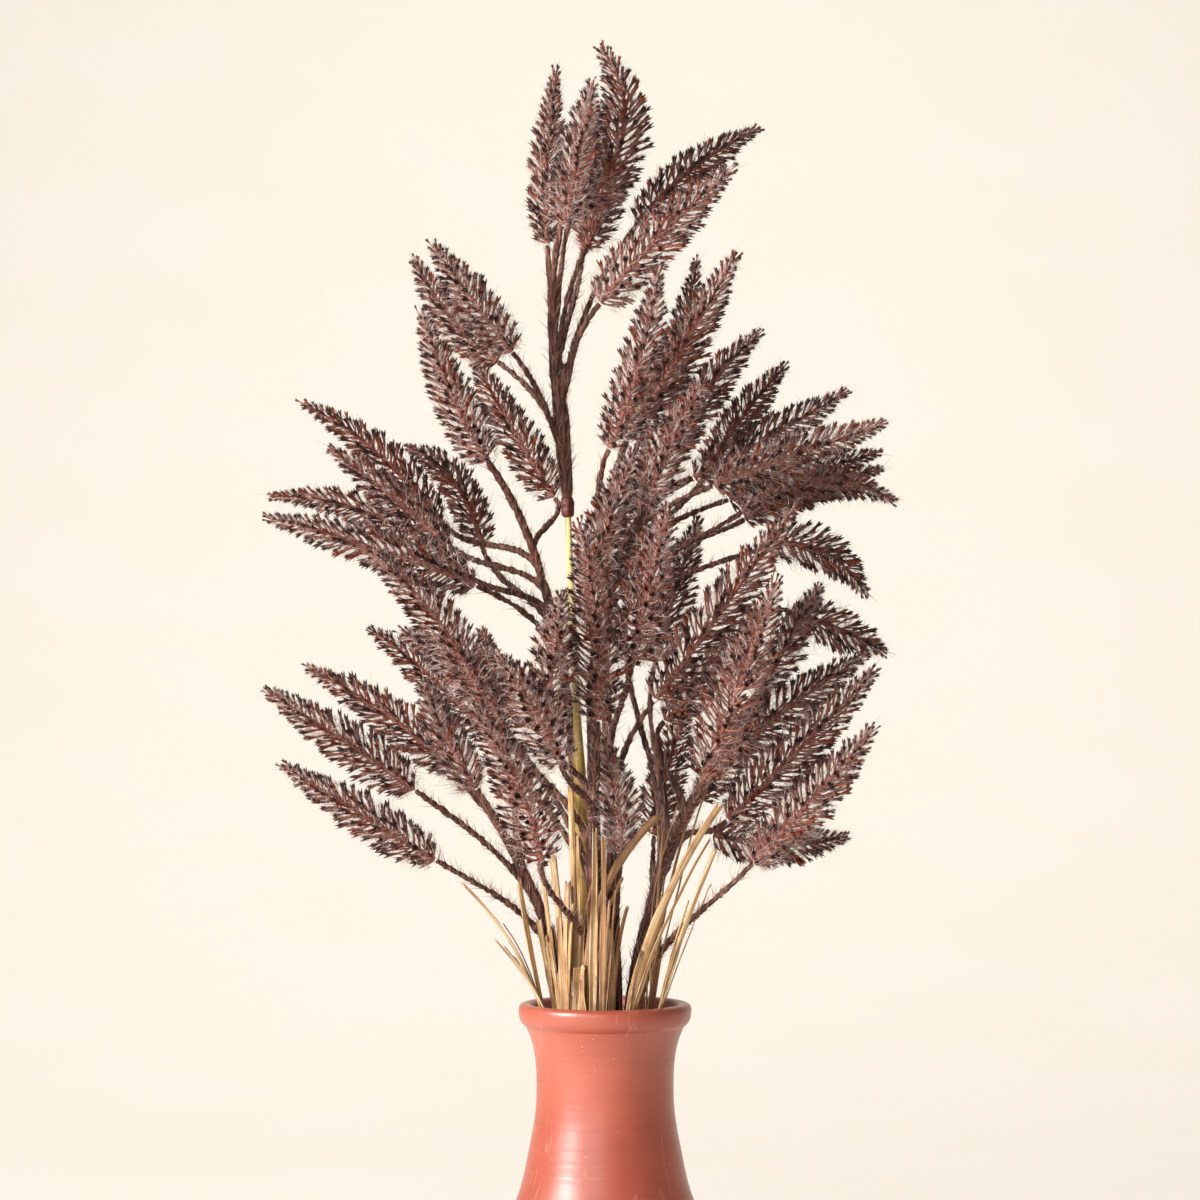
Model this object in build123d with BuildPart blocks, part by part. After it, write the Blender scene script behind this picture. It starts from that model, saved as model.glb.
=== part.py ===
from build123d import *
import math
import os

os.makedirs("parts", exist_ok=True)

# Vase of dried flower spikes. All lengths in mm. The origin is the centre of
# the vase's foot, +Z is up, -Y is the front and +X is the right-hand side.

# Vase
VASE_HEIGHT = 280.0
WALL = 6.0
FLOOR_THICKNESS = 9.0
FOOT_RADIUS = 52.0
BELLY_RADIUS = 92.0
BELLY_HEIGHT = 95.0
NECK_RADIUS = 36.7
NECK_LENGTH = 42.0  # from the narrowest place up to the rim
NECK_HEIGHT = VASE_HEIGHT - NECK_LENGTH
NECK_BORE = NECK_RADIUS - WALL
MOUTH_RADIUS = 39.0
LIP_WIDTH = 7.2
LIP_RADIUS = MOUTH_RADIUS + LIP_WIDTH
LIP_HEIGHT = 12.5
LIP_OVERHANG = 3.8  # how far the lip stands out over the neck below it
LIP_CREST = 3.5  # from the mouth's edge out to the highest line of the rim
LIP_BULGE_DROP = 5.5  # from the rim down to the lip's widest line
LIP_EDGE_DROP = 3.0
THROAT = ((2.6, 10.0), (6.1, 23.0))  # inside the mouth: narrower by, below the rim by
# the flank from foot to belly, and from belly to neck: share across, share up
FLANK = ((0.0, 0.0), (0.55, 0.295), (0.90, 0.653))
SHOULDER = ((0.0, 0.0), (0.154, 0.189), (0.497, 0.371), (0.805, 0.559), (0.924, 0.741), (0.987, 0.881))
COLLAR = (0.333, 0.644)  # between neck and lip: share across, share up
HOLLOW_SHARES = (0.80, 0.72, 0.64, 0.56, 0.48, 0.38, 0.28, 0.18, 0.10)

# Bunch. The places of its spikes, blades and crown are given from the middle of
# the rim, so that they rise with the vase.
RIM = Vector(0, 0, VASE_HEIGHT)
STEM_FOOT_GAP = 0.3  # stem ends stop just clear of the vase's floor
STEM_FOOT = FLOOR_THICKNESS + STEM_FOOT_GAP
STEM_GATHER = -30.0  # below this the main stems run straight down
MAIN_STEM_RADIUS = 3.8
MAIN_STEM_TOP_RADIUS = 2.0
BRANCH_RADIUS = 2.0
BRANCH_TOP_RADIUS = 1.5
STEM_REACH = 0.38  # share of a stem's length over which it keeps its first direction
MAIN_END_REACH = 0.30
STEM_SECTIONS = 7

# Girths of the spikes' cores, the solid middle that the florets stand out from
SLIM = 6.6
SLENDER = 7.3
MIDDLING = 8.0
STOUT = 8.6
BROAD = 9.3
BUSHY = 10.0
BUSHIEST = 11.2
# along a spike: share of its length, share of its core radius
SPIKE_PROFILE = ((0.0, 0.30), (0.09, 0.72), (0.30, 1.0), (0.60, 0.90), (0.88, 0.45), (1.0, 0.10))

# Binding round the stems, inside the neck
OUTERMOST_ROOT = 0.649  # share of the neck's bore at which the outermost stem stands
TIE_CORD_RADIUS = 1.4
TIE_GAP = 0.1
TIE_RADIUS = NECK_BORE * OUTERMOST_ROOT + MAIN_STEM_RADIUS + TIE_GAP + TIE_CORD_RADIUS
TIE_TURNS = 4
TIE_PITCH = 1.7  # from turn to turn, in cord radii: the turns press into each other
TIE_TOP = NECK_HEIGHT + 1.0

# Culm, the bare reed in the middle that carries the crown
CULM_FOOT_GAP = 21.0  # the culm is cut shorter than the stems, and ends above the floor
CULM_LEAN = -0.04542  # sideways per unit of height
CULM_TOP = RIM + Vector(-19.8, 0.0, 260.0)
CULM_RISE = CULM_TOP.Z - FLOOR_THICKNESS - CULM_FOOT_GAP
CULM_FOOT = CULM_TOP - Vector(CULM_LEAN, 0, 1) * CULM_RISE
CULM_RADIUS = 4.9
CULM_SHEATH_END = 175.0  # down the culm from its top, to where it has its full girth
CULM_TAPER_END = 110.0
CULM_THIN_RADIUS = 2.1
CULM_TIP_RADIUS = 1.7

# Socket, the bud that joins the crown to the culm
SOCKET_LENGTH = 10.8
SOCKET_RADIUS = 3.5
SOCKET_END_RADIUS = 2.7
SOCKET_BORE_DEPTH = 5.0
CROWN_PLUG_RADIUS = 1.9
CROWN_PLUG_LENGTH = 3.0
CROWN_BRANCH_RADIUS = 1.7
CROWN_HOOK_REACH = 0.12  # the hooked spike's stem turns late
CROWN_SPREAD = 0.5  # how far a branch keeps to the main stem's way where it leaves
# along the crown's main stem: share of its length, radius
CROWN_STEM_TAPER = ((0.0, SOCKET_END_RADIUS), (0.15, 4.0), (0.45, 3.6), (0.75, 2.4), (1.0, 1.6))

# Husk blades
BLADE_THICKNESS = 0.7
BLADE_FOOT = 2.5 - NECK_LENGTH
OUTER_BLADES = NECK_BORE * 0.808  # radius of the ring that the outer blades stand in
INNER_BLADES = NECK_BORE * 0.743


def save(solid_node, name):
    solid_node.part.label = name
    export_step(solid_node.part, f"parts/{name}.step")


def tapered_run(path, radii):
    """A round rod along a path. radii holds (share of the length, radius)."""
    with BuildPart(mode=Mode.PRIVATE) as rod:
        for share, radius in radii:
            with BuildSketch(Plane(origin=path @ share, z_dir=path % share)):
                Circle(radius)
        loft()
    return rod.part


def even_taper(start_radius, end_radius):
    last = STEM_SECTIONS - 1
    return [
        (i / last, start_radius + (end_radius - start_radius) * i / last)
        for i in range(STEM_SECTIONS)
    ]


def spike_path(base, middle, tip):
    """The axis of a spike or blade, given from the rim: base, middle of its arc, tip."""
    base, middle, tip = (RIM + Vector(place) for place in (base, middle, tip))
    with BuildLine(mode=Mode.PRIVATE) as axis:
        Bezier(base, middle * 2 - (base + tip) * 0.5, tip)
    return axis.edges()[0]


def stem_path(start, leaving, end, arriving, reach=STEM_REACH, end_reach=None):
    """A stem from start to end that leaves and arrives along the given directions."""
    length = (end - start).length
    before_end = length * (reach if end_reach is None else end_reach)
    with BuildLine(mode=Mode.PRIVATE) as axis:
        Bezier(start, start + leaving * length * reach, end - arriving * before_end, end)
    return axis.edges()[0]


def spike(base, middle, tip, girth):
    axis = spike_path(base, middle, tip)
    return tapered_run(axis, [(share, girth * swell) for share, swell in SPIKE_PROFILE])


def sprig(name, root, main, branches, main_end_reach=MAIN_END_REACH):
    """One cut sprig: its branching stem and, as separate solids, its spikes.

    root is the main stem's place in the neck, in shares of the neck's bore. main
    is the spike at the main stem's end. branches holds (share of the main
    stem's length, spike).
    """
    root_x, root_y = (NECK_BORE * share for share in root)
    main_axis = spike_path(*main[:3])
    start = RIM + Vector(root_x, root_y, STEM_GATHER)
    main_stem = stem_path(
        start, Vector(0, 0, 1), main_axis @ 0, main_axis % 0, STEM_REACH, main_end_reach
    )
    with BuildPart() as stems:
        with Locations((root_x, root_y, STEM_FOOT)):
            Cylinder(
                MAIN_STEM_RADIUS,
                start.Z - STEM_FOOT,
                align=(Align.CENTER, Align.CENTER, Align.MIN),
            )
        add(tapered_run(main_stem, even_taper(MAIN_STEM_RADIUS, MAIN_STEM_TOP_RADIUS)))
        for share, branch_spike in branches:
            axis = spike_path(*branch_spike[:3])
            branch = stem_path(main_stem @ share, main_stem % share, axis @ 0, axis % 0)
            add(tapered_run(branch, even_taper(BRANCH_RADIUS, BRANCH_TOP_RADIUS)))
    save(stems, f"{name}_stems")

    with BuildPart() as spikes:
        for branch_spike in [main] + [row for share, row in branches]:
            add(spike(*branch_spike))
    save(spikes, f"{name}_spikes")


def blade(name, bearing, ring, middle, tip, width):
    """A flat leaf blade that stands in the mouth at a bearing, in degrees from +X."""
    angle = math.radians(bearing)
    across = Vector(-math.sin(angle), math.cos(angle), 0)
    foot = (ring * math.cos(angle), ring * math.sin(angle), BLADE_FOOT)
    axis = spike_path(foot, middle, tip)
    with BuildPart() as leaf:
        with BuildSketch(Plane(origin=axis @ 0, x_dir=across, z_dir=axis % 0)):
            Rectangle(width, BLADE_THICKNESS)
        sweep(path=axis)
    save(leaf, f"husk_{name}")


# Vase body: one turned profile, outside then inside
outer_flank = [
    (FOOT_RADIUS + (BELLY_RADIUS - FOOT_RADIUS) * across, BELLY_HEIGHT * up) for across, up in FLANK
]
outer_flank += [
    (
        BELLY_RADIUS + (NECK_RADIUS - BELLY_RADIUS) * across,
        BELLY_HEIGHT + (NECK_HEIGHT - BELLY_HEIGHT) * up,
    )
    for across, up in SHOULDER
]
outer_flank.append((NECK_RADIUS, NECK_HEIGHT))
lip_foot = (LIP_RADIUS - LIP_OVERHANG, VASE_HEIGHT - LIP_HEIGHT)
collar_across, collar_up = COLLAR
outer_flank += [
    (
        NECK_RADIUS + (lip_foot[0] - NECK_RADIUS) * collar_across,
        NECK_HEIGHT + (lip_foot[1] - NECK_HEIGHT) * collar_up,
    ),
    lip_foot,
]
with BuildLine(Plane.XZ, mode=Mode.PRIVATE) as outer_line:
    outer_curve = Spline(*outer_flank)
lip_top = (MOUTH_RADIUS + LIP_CREST, VASE_HEIGHT)
lip_inside = (MOUTH_RADIUS, VASE_HEIGHT - LIP_EDGE_DROP)
throat = [(MOUTH_RADIUS - narrower, VASE_HEIGHT - down) for narrower, down in THROAT]
hollow_points = []
for share in HOLLOW_SHARES:
    on_curve = outer_curve @ share
    along = outer_curve % share
    hollow_points.append((on_curve.X - along.Z * WALL, on_curve.Z + along.X * WALL))
with BuildPart() as vase_body:
    with BuildSketch(Plane.XZ):
        with BuildLine():
            Line((0, 0), outer_flank[0])
            Spline(*outer_flank)
            Spline(
                lip_foot,
                (LIP_RADIUS, VASE_HEIGHT - LIP_BULGE_DROP),
                lip_top,
                tangents=((0.8, 0.6), (-1.0, 0.0)),
            )
            Spline(lip_top, lip_inside, tangents=((-1.0, 0.0), (-0.1, -1.0)))
            Spline(
                lip_inside,
                *throat,
                (NECK_BORE, NECK_HEIGHT),
                *hollow_points,
                (FOOT_RADIUS - WALL, FLOOR_THICKNESS),
            )
            Line((FOOT_RADIUS - WALL, FLOOR_THICKNESS), (0, FLOOR_THICKNESS))
            Line((0, FLOOR_THICKNESS), (0, 0))
        make_face()
    revolve(axis=Axis.Z)
save(vase_body, "vase_body")

# Binding: cord wound side by side round the stems
with BuildPart() as bunch_tie:
    with BuildSketch(Plane.XZ):
        for turn in range(TIE_TURNS):
            with Locations((TIE_RADIUS, TIE_TOP - TIE_CORD_RADIUS * (1.0 + TIE_PITCH * turn))):
                Circle(TIE_CORD_RADIUS)
    revolve(axis=Axis.Z)
save(bunch_tie, "bunch_tie")

# Culm and socket share one straight, slightly leaning axis
culm_line = Line(CULM_FOOT, CULM_TOP)
culm_axis = culm_line % 0
culm_length = culm_line.length
culm_plane = Plane(origin=CULM_FOOT, x_dir=(0, 1, 0), z_dir=culm_axis)
top_plane = Plane(origin=CULM_TOP, x_dir=(0, 1, 0), z_dir=culm_axis)
culm_sections = (
    (0.0, CULM_RADIUS),
    (culm_length - CULM_SHEATH_END, CULM_RADIUS),
    (culm_length - CULM_TAPER_END, CULM_THIN_RADIUS),
    (culm_length + SOCKET_BORE_DEPTH, CULM_TIP_RADIUS),
)
with BuildPart() as centre_culm:
    for distance, radius in culm_sections:
        with BuildSketch(culm_plane.offset(distance)):
            Circle(radius)
    loft(ruled=True)
save(centre_culm, "centre_culm")

socket_sections = (
    (0.0, SOCKET_END_RADIUS),
    (SOCKET_LENGTH * 0.35, SOCKET_RADIUS),
    (SOCKET_LENGTH * 0.65, SOCKET_RADIUS),
    (SOCKET_LENGTH, SOCKET_END_RADIUS),
)
with BuildPart() as culm_socket:
    for distance, radius in socket_sections:
        with BuildSketch(top_plane.offset(distance)):
            Circle(radius)
    loft()
    add(centre_culm.part, mode=Mode.SUBTRACT)
    with BuildSketch(top_plane.offset(SOCKET_LENGTH)):
        Circle(CROWN_PLUG_RADIUS)
    extrude(amount=-CROWN_PLUG_LENGTH, mode=Mode.SUBTRACT)
save(culm_socket, "culm_socket")

# Crown: the sprig on top of the culm
crown_foot = CULM_TOP + culm_axis * SOCKET_LENGTH
crown_main = ((-23, -22, 414), (-14, -31, 450), (-7, -40, 489), MIDDLING)
crown_branches = [
    (0.12, ((-49, -18, 347), (-73, -32, 378), (-91, -45, 403), MIDDLING), STEM_REACH),
    (0.20, ((-58, 14, 344), (-83, 25, 368), (-104, 36, 402), SLENDER), STEM_REACH),
    (0.30, ((-3, -14, 373), (31, -24, 410), (67, -34, 443), BUSHY), STEM_REACH),
    (0.36, ((18, 26, 420), (46, 38, 449), (85, 50, 474), SLENDER), STEM_REACH),
    (0.42, ((-12, 50, 417), (-9, 71, 453), (3, 92, 494), SLENDER), STEM_REACH),
    (0.48, ((-10, 28, 407), (0, 42, 431), (10, 55, 457), SLENDER), STEM_REACH),
    (0.55, ((-15, -8, 426), (10, -14, 465), (-4, -20, 510), BUSHY), CROWN_HOOK_REACH),
    (0.62, ((-31, -4, 405), (-31, -9, 447), (-26, -14, 499), SLIM), STEM_REACH),
]
crown_top = spike_path(*crown_main[:3])
crown_stem = stem_path(
    crown_foot, culm_axis, crown_top @ 0, crown_top % 0, STEM_REACH, MAIN_END_REACH
)
with BuildPart() as crown_stems:
    with BuildSketch(top_plane.offset(SOCKET_LENGTH)):
        Circle(CROWN_PLUG_RADIUS)
    extrude(amount=-CROWN_PLUG_LENGTH)
    add(tapered_run(crown_stem, CROWN_STEM_TAPER))
    for share, row, end_reach in crown_branches:
        axis = spike_path(*row[:3])
        fork = crown_stem @ share
        spread = crown_stem % share * CROWN_SPREAD + (axis @ 0 - fork).normalized()
        branch = stem_path(
            fork, spread.normalized(), axis @ 0, axis % 0, STEM_REACH, end_reach
        )
        add(tapered_run(branch, even_taper(CROWN_BRANCH_RADIUS, BRANCH_TOP_RADIUS)))
save(crown_stems, "crown_stems")
with BuildPart() as crown_spikes:
    for row in [crown_main] + [row for share, row, end_reach in crown_branches]:
        add(spike(*row))
save(crown_spikes, "crown_spikes")

# The seven cut sprigs that stand round the culm
sprig(
    "left_upper",
    root=(-0.423, 0.391),
    main=((-62, -26, 289), (-80, -43, 322), (-96, -60, 367), MIDDLING),
    branches=[
        (0.28, ((-57, 52, 142), (-62, 71, 171), (-69, 90, 200), SLENDER)),
        (0.60, ((-68, -22, 223), (-121, -32, 243), (-179, -42, 259), STOUT)),
        (0.66, ((-68, 62, 247), (-85, 84, 283), (-112, 105, 301), SLENDER)),
        (0.70, ((-77, 18, 231), (-128, 20, 263), (-182, 22, 271), SLENDER)),
        (0.74, ((-84, 6, 245), (-118, 8, 274), (-149, 10, 298), SLENDER)),
        (0.78, ((-90, 40, 259), (-127, 51, 298), (-167, 62, 324), SLENDER)),
        (0.82, ((-27, 22, 271), (-50, 31, 308), (-73, 40, 351), MIDDLING)),
    ],
)
sprig(
    "left_lower",
    root=(-0.635, -0.130),
    main=((-69, 2, 114), (-85, 3, 142), (-97, 4, 172), MIDDLING),
    branches=[
        (0.27, ((-89, -30, 78), (-130, -40, 104), (-170, -50, 130), MIDDLING)),
        (0.42, ((-101, -10, 114), (-139, -18, 141), (-180, -26, 168), STOUT)),
        (0.62, ((-64, 40, 142), (-98, 50, 176), (-130, 60, 200), MIDDLING)),
        (0.74, ((-83, 22, 123), (-118, 31, 153), (-163, 40, 179), MIDDLING)),
    ],
)
sprig(
    "front_left",
    root=(-0.261, -0.521),
    main=((-4, -48, 152), (-5, -74, 205), (-14, -100, 255), BUSHY),
    branches=[
        (0.26, ((-34, -62, 79), (-44, -87, 118), (-67, -112, 159), BUSHY)),
        (0.42, ((-56, -8, 152), (-81, -14, 182), (-109, -20, 199), MIDDLING)),
        (0.55, ((-66, -30, 163), (-91, -46, 209), (-127, -62, 243), STOUT)),
        (0.66, ((-23, -88, 131), (-36, -109, 159), (-55, -130, 188), BROAD)),
        (0.74, ((-31, -56, 147), (-27, -76, 185), (-22, -96, 220), STOUT)),
    ],
)
sprig(
    "centre",
    root=(0.195, -0.489),
    main=((11, -10, 300), (41, -20, 348), (70, -30, 400), BROAD),
    main_end_reach=0.12,
    branches=[
        (0.16, ((8, -30, 82), (6, -31, 114), (-4, -32, 144), SLENDER)),
        (0.36, ((26, -26, 162), (63, -33, 212), (99, -40, 264), BUSHY)),
        (0.45, ((14, -60, 182), (22, -82, 221), (32, -104, 264), BUSHY)),
        (0.56, ((-7, -34, 224), (2, -49, 257), (15, -64, 293), MIDDLING)),
        (0.66, ((21, -52, 265), (35, -68, 299), (51, -84, 328), STOUT)),
        (0.74, ((2, -34, 295), (18, -46, 340), (28, -58, 389), MIDDLING)),
        (0.80, ((34, 2, 295), (59, 7, 333), (84, 12, 360), MIDDLING)),
        (0.84, ((24, 30, 313), (42, 41, 363), (50, 52, 403), SLIM)),
    ],
)
sprig(
    "right_upper",
    root=(0.065, 0.521),
    main=((47, 2, 281), (87, 4, 302), (130, 6, 328), MIDDLING),
    branches=[
        (0.60, ((88, 24, 244), (118, 32, 242), (142, 40, 218), MIDDLING)),
        (0.66, ((74, 8, 263), (116, 11, 278), (157, 14, 268), SLENDER)),
        (0.70, ((77, 66, 260), (115, 79, 277), (156, 92, 289), SLIM)),
        (0.72, ((67, 34, 270), (110, 43, 284), (151, 52, 297), SLENDER)),
        (0.74, ((57, 55, 287), (77, 72, 318), (101, 88, 347), SLENDER)),
        (0.80, ((57, -22, 276), (100, -30, 292), (148, -38, 309), MIDDLING)),
    ],
)
sprig(
    "right_middle",
    root=(0.407, 0.342),
    main=((82, 6, 166), (101, 1, 197), (115, -4, 224), SLENDER),
    branches=[
        (0.35, ((27, 44, 87), (35, 64, 125), (48, 84, 160), MIDDLING)),
        (0.40, ((13, 66, 216), (20, 89, 260), (23, 112, 306), SLENDER)),
        (0.45, ((27, 20, 182), (38, 26, 221), (51, 32, 260), MIDDLING)),
        (0.50, ((52, 60, 106), (75, 80, 138), (87, 100, 165), SLENDER)),
        (0.60, ((32, 10, 150), (60, 10, 179), (88, 10, 213), MIDDLING)),
        (0.80, ((101, 30, 209), (127, 38, 200), (153, 46, 187), MIDDLING)),
    ],
)
sprig(
    "right_lower",
    root=(0.554, -0.163),
    main=((65, -10, 131), (102, -10, 161), (140, -10, 187), STOUT),
    branches=[
        (0.10, ((77, -56, 78), (110, -70, 115), (138, -84, 150), BROAD)),
        (0.48, ((51, -66, 122), (68, -89, 169), (87, -112, 226), BUSHIEST)),
        (0.55, ((58, 0, 91), (94, 6, 84), (131, 12, 89), MIDDLING)),
        (0.66, ((64, -34, 99), (101, -42, 136), (142, -50, 180), BROAD)),
    ],
)

# Husk blades, named from the left of the mouth round the front to the right
blade("blade_01", 184, OUTER_BLADES, (-38, -15, 24), (-45, -28, 69), 3.2)
blade("blade_02", 194, OUTER_BLADES, (-45, -19, 24), (-77, -32, 67), 2.0)
blade("blade_03", 204, INNER_BLADES, (-31, -14, 19), (-36, -18, 48), 2.8)
blade("blade_04", 207, OUTER_BLADES, (-34, -18, 1), (-59, -32, 37), 2.0)
blade("blade_05", 213, INNER_BLADES, (-28, -17, 24), (-33, -20, 67), 3.2)
blade("blade_06", 220, OUTER_BLADES, (-21, -23, 25), (-20, -24, 68), 5.4)
blade("blade_07", 222, INNER_BLADES, (-24, -19, 35), (-28, -22, 83), 3.0)
blade("blade_08", 236, OUTER_BLADES, (-13, -25, -7), (-13, -28, 24), 5.6)
blade("blade_09", 236, INNER_BLADES, (-17, -22, 57), (-18, -36, 120), 3.2)
blade("blade_10", 251, INNER_BLADES, (-3, -31, 55), (32, -42, 102), 4.0)
blade("blade_11", 254, OUTER_BLADES, (-6, -32, 31), (-6, -38, 97), 3.0)
blade("blade_12", 266, OUTER_BLADES, (-1, -33, 31), (-1, -40, 93), 2.4)
blade("blade_13", 268, INNER_BLADES, (-3, -24, 4), (-4, -28, 50), 6.0)
blade("blade_14", 280, OUTER_BLADES, (3, -28, 4), (3, -30, 44), 3.2)
blade("blade_15", 286, INNER_BLADES, (5, -24, 12), (13, -28, 55), 2.0)
blade("blade_16", 295, OUTER_BLADES, (26, -40, 42), (63, -58, 110), 5.0)
blade("blade_17", 301, INNER_BLADES, (14, -26, 4), (28, -33, 32), 3.2)
blade("blade_18", 311, OUTER_BLADES, (18, -21, -2), (21, -21, 24), 4.0)
blade("blade_19", 322, INNER_BLADES, (35, -34, 68), (59, -46, 142), 2.0)
blade("blade_20", 328, OUTER_BLADES, (36, -33, 23), (58, -60, 87), 2.4)
blade("blade_21", 343, OUTER_BLADES, (27, -25, 41), (31, -31, 96), 2.0)
blade("blade_22", 28, OUTER_BLADES, (29, 29, 48), (28, 46, 118), 2.4)
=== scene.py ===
import math

import bmesh
import bpy
import numpy as np
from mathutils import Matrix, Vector, noise


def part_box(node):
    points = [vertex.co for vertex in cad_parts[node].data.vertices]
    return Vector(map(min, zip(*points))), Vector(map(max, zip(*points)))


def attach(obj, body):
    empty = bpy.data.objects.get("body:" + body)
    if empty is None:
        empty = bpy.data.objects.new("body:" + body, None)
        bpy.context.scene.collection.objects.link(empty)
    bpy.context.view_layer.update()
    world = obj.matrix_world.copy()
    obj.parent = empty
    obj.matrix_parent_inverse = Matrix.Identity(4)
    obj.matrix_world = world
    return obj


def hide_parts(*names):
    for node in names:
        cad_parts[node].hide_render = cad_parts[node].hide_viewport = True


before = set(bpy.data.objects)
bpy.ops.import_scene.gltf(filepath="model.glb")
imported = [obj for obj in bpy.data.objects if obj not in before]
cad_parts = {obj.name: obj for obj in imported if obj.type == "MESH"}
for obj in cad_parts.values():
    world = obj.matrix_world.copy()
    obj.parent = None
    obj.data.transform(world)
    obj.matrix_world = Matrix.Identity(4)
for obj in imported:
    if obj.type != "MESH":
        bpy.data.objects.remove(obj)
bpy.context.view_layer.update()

MM = 0.001
BUNCH, CROWN = "bunch", "centre_sprig"
SPRIGS = (
    "left_upper",
    "left_lower",
    "front_left",
    "centre",
    "right_upper",
    "right_middle",
    "right_lower",
)


# ---------------------------------------------------------------- node helpers
def linear(hex_colour):
    """A colour written as rrggbb, as the linear values that shaders take."""
    parts = [int(hex_colour[i : i + 2], 16) / 255 for i in (0, 2, 4)]
    return tuple(p / 12.92 if p <= 0.04045 else ((p + 0.055) / 1.055) ** 2.4 for p in parts) + (1,)


class Nodes:
    """A material's node tree, with short ways to add what the materials here need."""

    def __init__(self, name, roughness):
        self.material = bpy.data.materials.new(name)
        self.material.use_nodes = True
        self.tree = self.material.node_tree
        self.shader = self.tree.nodes["Principled BSDF"]
        self.shader.inputs["Roughness"].default_value = roughness
        self.coordinates = self.add("ShaderNodeTexCoord")

    def add(self, kind, **settings):
        node = self.tree.nodes.new(kind)
        for key, value in settings.items():
            setattr(node, key, value)
        return node

    def link(self, output, socket):
        self.tree.links.new(output, socket)

    def place(self, scale=(1, 1, 1)):
        mapping = self.add("ShaderNodeMapping")
        mapping.inputs["Scale"].default_value = scale
        self.link(self.coordinates.outputs["Object"], mapping.inputs["Vector"])
        return mapping.outputs["Vector"]

    def noise(self, scale, stretch=(1, 1, 1), detail=3.0, roughness=0.55, distortion=0.0):
        node = self.add("ShaderNodeTexNoise")
        node.inputs["Scale"].default_value = scale
        node.inputs["Detail"].default_value = detail
        node.inputs["Roughness"].default_value = roughness
        node.inputs["Distortion"].default_value = distortion
        self.link(self.place(stretch), node.inputs["Vector"])
        return node.outputs["Fac"]

    def ramp(self, value, stops):
        """Colours (rrggbb) or grey values at places from 0 to 1."""
        node = self.add("ShaderNodeValToRGB")
        elements = node.color_ramp.elements
        while len(elements) < len(stops):
            elements.new(0.5)
        for element, (place, colour) in zip(elements, stops):
            element.position = place
            element.color = linear(colour) if isinstance(colour, str) else (colour,) * 3 + (1,)
        self.link(value, node.inputs["Fac"])
        return node.outputs["Color"]

    def mix(self, factor, first, second):
        node = self.add("ShaderNodeMix", data_type="RGBA")
        sockets = [s for s in node.inputs if s.type == "RGBA"]
        self.link(factor, node.inputs["Factor"])
        for socket, value in zip(sockets, (first, second)):
            if isinstance(value, str):
                socket.default_value = linear(value)
            else:
                self.link(value, socket)
        return [s for s in node.outputs if s.type == "RGBA"][0]

    def math(self, operation, first, second):
        node = self.add("ShaderNodeMath", operation=operation)
        for socket, value in zip(node.inputs, (first, second)):
            if isinstance(value, (int, float)):
                socket.default_value = value
            else:
                self.link(value, socket)
        return node.outputs["Value"]

    def bump(self, height, strength, distance):
        node = self.add("ShaderNodeBump")
        node.inputs["Strength"].default_value = strength
        node.inputs["Distance"].default_value = distance
        self.link(height, node.inputs["Height"])
        self.link(node.outputs["Normal"], self.shader.inputs["Normal"])

    def tint(self):
        """The three values of the mesh's "tint" attribute."""
        values = self.add("ShaderNodeSeparateColor")
        attribute = self.add("ShaderNodeAttribute", attribute_name="tint")
        self.link(attribute.outputs["Color"], values.inputs["Color"])
        return values.outputs

    def colour(self, output):
        self.link(output, self.shader.inputs["Base Color"])

    def roughness(self, output):
        self.link(output, self.shader.inputs["Roughness"])


def floret_material():
    """Dried florets: dull orange at the root, red-brown stalks and near-black claws.

    The "tint" attribute holds how far along the floret a point is, a value of
    the floret's own, and how pale the whole spike is: painted light makes front spikes pale and
    pink, painted shade makes back spikes brown, and a random tone of the spike's own is added.
    """
    m = Nodes("dried_florets", 0.82)
    along, own, light = m.tint()
    brown = m.ramp(
        along,
        [(0.0, "8A4634"), (0.3, "7E4234"), (0.62, "5A3128"), (0.8, "3C211C"), (1.0, "291614")],
    )
    lit_pink = m.ramp(
        along,
        [(0.0, "B4705C"), (0.3, "A86E62"), (0.62, "84554C"), (0.8, "543630"), (1.0, "381F1C")],
    )
    # painted light: lit spikes take the pale pink copy of the colours, shaded ones the brown copy
    colour = m.mix(light, brown, lit_pink)
    rusty = m.ramp(own, [(0.0, 0.0), (0.62, 0.0), (0.95, 0.8)])
    colour = m.mix(rusty, colour, "96482E")
    dark = m.ramp(own, [(0.0, 0.55), (0.35, 0.0)])
    colour = m.mix(dark, colour, "2A1917")
    m.colour(colour)
    m.bump(m.noise(900, (1, 1, 1), 2), 0.4, 0.0004)
    return m.material


def fuzz_material():
    """Fine curled hairs: brown at the root, pinkish grey at the tip; paler on front spikes as
    painted light, duller on back ones as painted shade.
    """
    m = Nodes("dried_fuzz", 0.7)
    along, own, light = m.tint()
    dull = m.ramp(along, [(0.0, "7A4A3E"), (0.4, "A67868"), (1.0, "CCAEA2")])
    pale = m.ramp(along, [(0.0, "AC7C6E"), (0.35, "DEC0B8"), (1.0, "FAEEE8")])
    # painted light: on spikes the pale copy goes to the lit front ones and the dull copy to the
    # shaded back ones; stem fibres take a random share
    colour = m.mix(light, dull, pale)
    shade = m.ramp(own, [(0.0, 0.6), (0.4, 0.0)])
    m.colour(m.mix(shade, colour, "7A4638"))
    return m.material


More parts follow.
